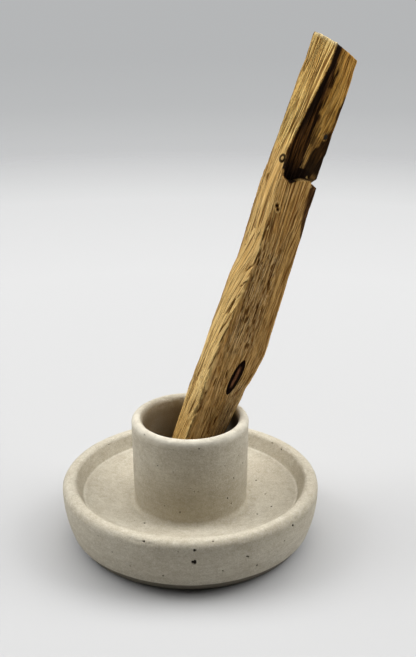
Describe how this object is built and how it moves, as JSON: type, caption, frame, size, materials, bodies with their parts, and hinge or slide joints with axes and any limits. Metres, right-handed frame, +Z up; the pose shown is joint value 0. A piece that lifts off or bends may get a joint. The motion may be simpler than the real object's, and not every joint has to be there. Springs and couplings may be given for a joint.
{
  "type": "incense stick holder",
  "caption": "Round cream dish with a rolled rim and a straight central cup that holds a loose, leaning hand-split wood stick and catches its ash.",
  "frame": {"origin": "centre of the underside of the base pad, on the table", "axes": "+Z up along the axis of the dish and cup; +X to the right and +Y away in the picture's view, so the stick leans towards +X and a little towards +Y"},
  "size_m": [0.0677, 0.06, 0.1138],
  "materials": {
    "cast_body": "matte",
    "cork_pad": "matte",
    "split_wood": "matte"
  },
  "bodies": {
    "holder": {"holder_casting": "cast_body", "base_pad": "cork_pad"},
    "stick": {"wood_stick": "split_wood"}
  },
  "joints": [
    {"name": "stick_lift", "type": "slide", "parent": "holder", "child": "stick", "axis": [0, 0, 1], "range_m": [0, 0.03]}
  ]
}
